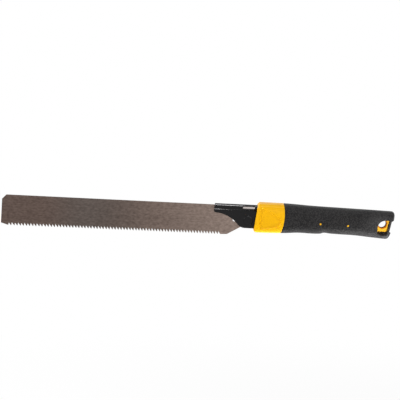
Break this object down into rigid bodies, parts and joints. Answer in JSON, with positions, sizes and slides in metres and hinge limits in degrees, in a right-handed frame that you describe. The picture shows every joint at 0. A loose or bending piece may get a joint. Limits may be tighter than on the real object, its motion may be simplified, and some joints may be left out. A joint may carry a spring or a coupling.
{
  "type": "flush cut saw",
  "caption": "Pull-stroke hand saw: thin toothed blade hooked on a rivet in a folded sheet holder, with a moulded handle, rubber grip and hang hole.",
  "frame": {"origin": "centre of the hang hole, in the middle plane of the saw", "axes": "+X along the saw from the toe towards the butt, +Y across the saw along the hang hole and away from the picture's viewer, +Z from the teeth towards the blade's back"},
  "size_m": [0.3904, 0.0268, 0.0346],
  "materials": {
    "blade_steel": "satin",
    "holder_black": "gloss",
    "rivet_black": "gloss",
    "rod_steel": "polished",
    "pin_steel": "satin",
    "core_yellow": "semi-gloss",
    "grip_black": "matte"
  },
  "bodies": {
    "handle": {"handle_core": "core_yellow", "grip_sleeve": "grip_black", "blade_holder": "holder_black", "hook_pin": "rivet_black", "tang_rod": "rod_steel", "tang_pins": "pin_steel"},
    "blade": {"blade": "blade_steel"}
  },
  "joints": [
    {"name": "blade_swing", "type": "hinge", "parent": "handle", "child": "blade", "pos_m": [-0.1315, 0, -0.0034], "axis": [0, -1, 0], "range_deg": [0, 60]}
  ]
}
